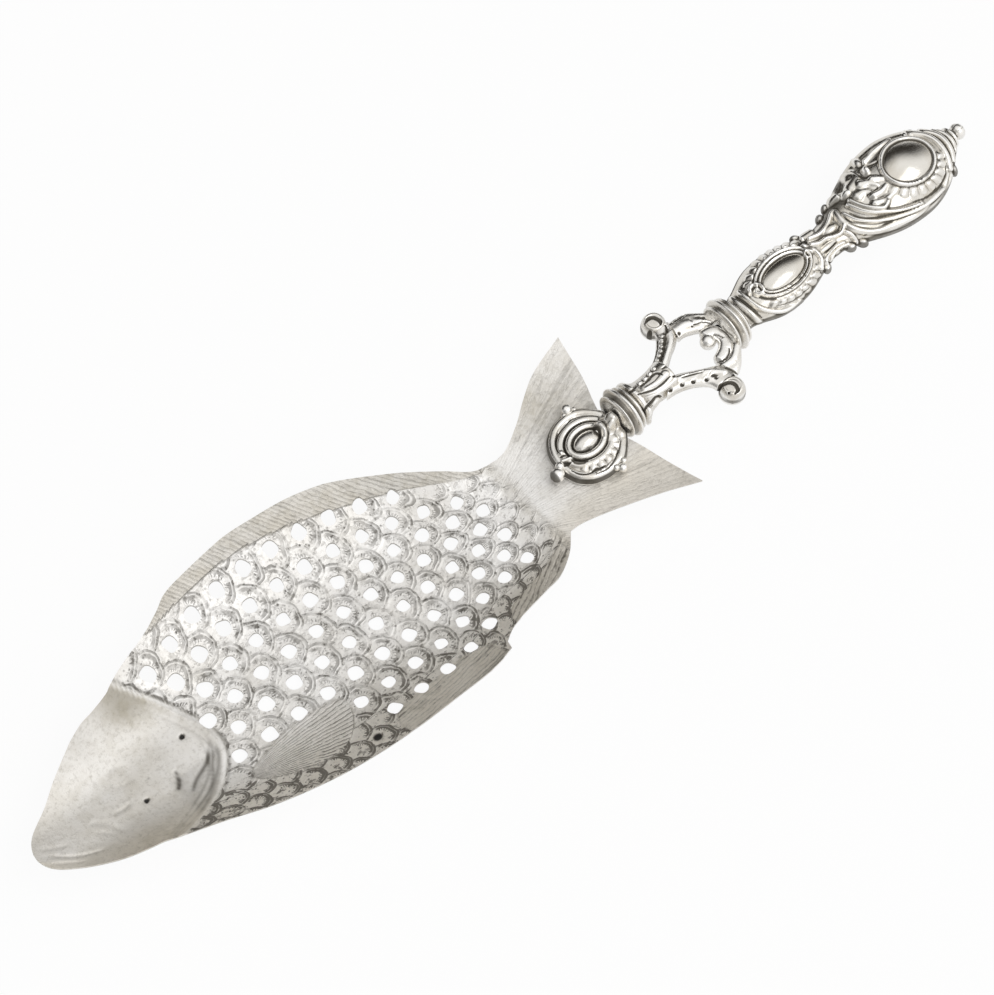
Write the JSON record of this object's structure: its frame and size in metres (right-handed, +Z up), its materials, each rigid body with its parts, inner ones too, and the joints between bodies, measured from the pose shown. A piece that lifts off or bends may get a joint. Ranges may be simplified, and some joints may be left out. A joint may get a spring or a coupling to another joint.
{
  "type": "figural fish serving spoon",
  "caption": "Fish-shaped pierced silver serving spoon: a dished fish blade with a tail cartouche, a scrolled openwork yoke and a hollow embossed handle with a ball finial.",
  "frame": {"origin": "on the table under the middle of the spoon's bounding box", "axes": "+X from the fish's nose to the tip of the handle, +Y towards the fish's back, +Z up out of the bowl"},
  "size_m": [0.3274, 0.0754, 0.0198],
  "materials": {
    "frosted_silver": "satin silver, engraved and pierced",
    "cast_silver": "polished silver with darkened recesses",
    "stamped_silver": "polished silver with darkened recesses",
    "pitch": "dull",
    "steel": "plain"
  },
  "bodies": {
    "root": {"fish_bowl": "frosted_silver", "tail_cartouche": "cast_silver", "stem_collar": "cast_silver", "stem_pin": "steel", "yoke_socket": "cast_silver", "yoke_arm_back": "cast_silver", "yoke_arm_belly": "cast_silver", "bridge_scroll_back": "cast_silver", "bridge_scroll_belly": "cast_silver", "handle_collar": "cast_silver", "handle_tang": "steel", "handle_front_shell": "stamped_silver", "handle_back_shell": "stamped_silver", "handle_core": "pitch", "end_finial": "cast_silver"}
  },
  "joints": []
}
